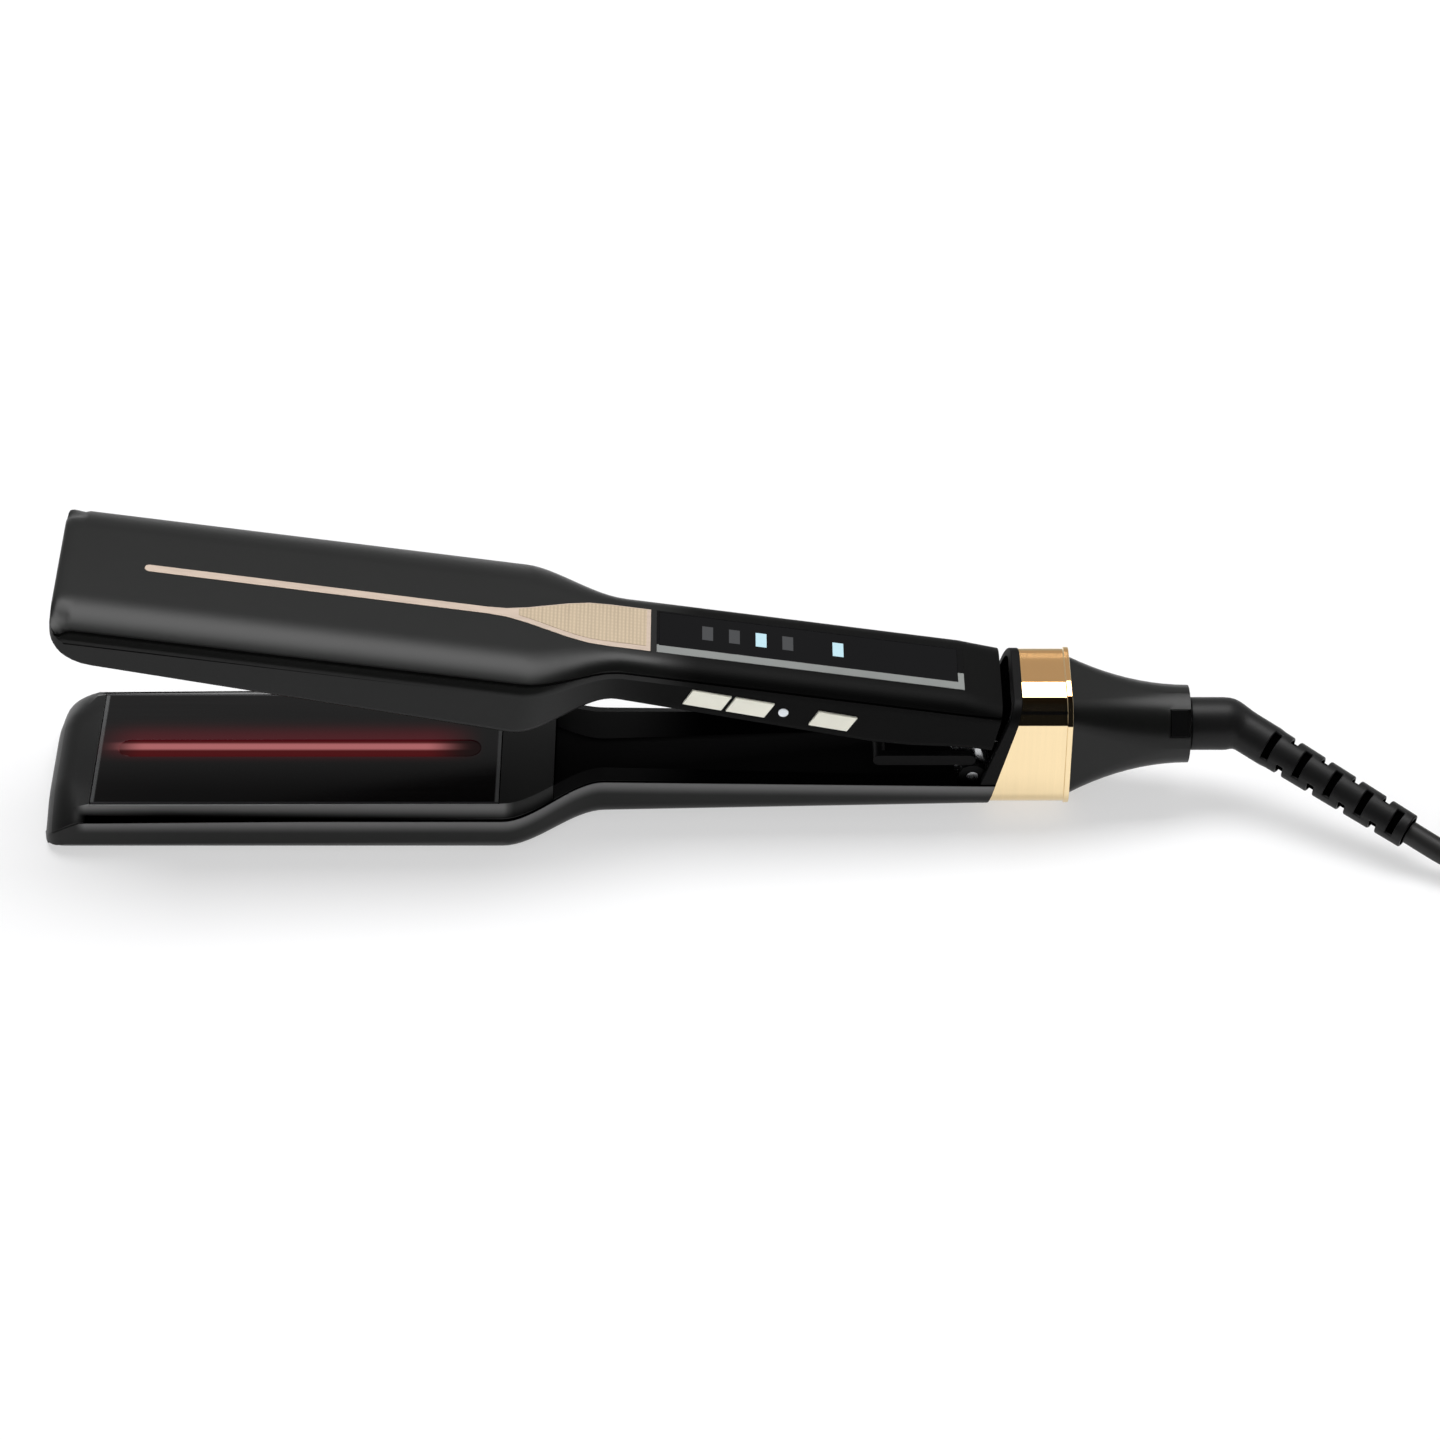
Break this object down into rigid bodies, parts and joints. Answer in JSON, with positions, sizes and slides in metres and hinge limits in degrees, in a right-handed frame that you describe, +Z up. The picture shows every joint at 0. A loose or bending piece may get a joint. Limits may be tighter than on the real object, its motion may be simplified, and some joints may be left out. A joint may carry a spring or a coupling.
{
  "type": "hair straightening iron",
  "caption": "Wide-plate infrared hair straightening iron with two hinged arms, floating heater plates, side buttons and a swivelling mains cord, lying open.",
  "frame": {"origin": "bottom centre of the iron's bounding box, measured without the cord, its boot and its plug; the lower arm's flat underside lies on Z = 0", "axes": "+X along the iron from the tip to the cord end, +Y across the plates to the side away from the buttons, +Z up from the surface the iron lies on"},
  "size_m": [0.5536, 0.1103, 0.0864],
  "materials": {
    "black_satin": "fine satin moulded plastic",
    "black_matte": "matte heat-resistant plastic",
    "black_gloss": "high gloss",
    "plate_coating": "glossy dark coating on aluminium",
    "heater_ceramic": "matte",
    "red_window": "clear red",
    "emitter_glass": "clear tube",
    "silicone": "matte silicone",
    "gold_satin": "satin pale gold",
    "gold_trim": "satin champagne",
    "gold_engraved": "fine engraved field",
    "grey_satin": "satin grey",
    "mark_dim": "printed light window, unlit",
    "mark_lit": "light window, lit",
    "button_cream": "satin cream",
    "led_lens": "diffusing lens",
    "board_green": "circuit board laminate",
    "steel": "machined",
    "screw_steel": "blackened",
    "block_cream": "moulded terminal plastic",
    "cord_pvc": "smooth flexible sheath",
    "boot_rubber": "matte ribbed",
    "pin_metal": "plated brass"
  },
  "bodies": {
    "lower_arm": {"lower_outer_shell": "black_satin", "lower_inner_frame": "black_matte", "lower_handle_liner": "black_matte", "lower_float_pads": "silicone", "infrared_emitter": "emitter_glass", "thermal_fuse": "heater_ceramic", "terminal_block": "block_cream", "lower_screws": "screw_steel", "hinge_shroud": "black_satin", "hinge_pin": "steel", "hinge_spring": "steel", "rear_collar": "black_satin", "gold_ring": "gold_satin", "rear_cone": "black_satin", "swivel_clip": "black_matte", "cord_lead": "cord_pvc", "cord_coil": "cord_pvc", "cord_tail": "cord_pvc", "cord_tie": "boot_rubber", "plug_body": "cord_pvc", "plug_pins": "pin_metal"},
    "lower_plate": {"lower_heater_plate": "plate_coating", "lower_heaters": "heater_ceramic", "infrared_window": "red_window"},
    "upper_arm": {"upper_top_cover": "black_satin", "upper_arm_frame": "black_matte", "upper_float_pads": "silicone", "trim_stripe": "gold_trim", "trim_insert": "gold_engraved", "display_panel": "black_gloss", "panel_bezel": "grey_satin", "display_marks_dim": "mark_dim", "display_marks_lit": "mark_lit", "status_led": "led_lens", "control_board": "board_green", "tact_switches": "steel", "upper_screws": "screw_steel", "hinge_knuckle": "steel"},
    "upper_plate": {"upper_heater_plate": "plate_coating", "upper_heater": "heater_ceramic"},
    "front_button": {"button_front": "button_cream"},
    "middle_button": {"button_middle": "button_cream"},
    "rear_button": {"button_rear": "button_cream"},
    "cord_swivel": {"swivel_barrel": "black_satin", "strain_relief": "boot_rubber"}
  },
  "joints": [
    {"name": "arm_hinge", "type": "hinge", "parent": "lower_arm", "child": "upper_arm", "pos_m": [0.0976, 0, 0.016], "axis": [0, -1, 0], "range_deg": [0, 12.2], "stiffness_Nm_per_rad": 2.2, "springref_deg": -20.05},
    {"name": "lower_plate_float", "type": "slide", "parent": "lower_arm", "child": "lower_plate", "axis": [0, 0, -1], "range_m": [0, 0.0008], "stiffness_N_per_m": 3000, "springref_m": -0.001},
    {"name": "upper_plate_float", "type": "slide", "parent": "upper_arm", "child": "upper_plate", "axis": [0.2113, 0, 0.9774], "range_m": [0, 0.0008], "stiffness_N_per_m": 3000, "springref_m": -0.001},
    {"name": "front_button_press", "type": "slide", "parent": "upper_arm", "child": "front_button", "axis": [0, 1, 0], "range_m": [0, 0.0005], "stiffness_N_per_m": 250, "springref_m": -0.002},
    {"name": "middle_button_press", "type": "slide", "parent": "upper_arm", "child": "middle_button", "axis": [0, 1, 0], "range_m": [0, 0.0005], "stiffness_N_per_m": 250, "springref_m": -0.002},
    {"name": "rear_button_press", "type": "slide", "parent": "upper_arm", "child": "rear_button", "axis": [0, 1, 0], "range_m": [0, 0.0005], "stiffness_N_per_m": 250, "springref_m": -0.002},
    {"name": "cord_swivel_turn", "type": "hinge", "parent": "lower_arm", "child": "cord_swivel", "pos_m": [0.169, 0, 0.02455], "axis": [1, 0, 0], "continuous": true}
  ]
}
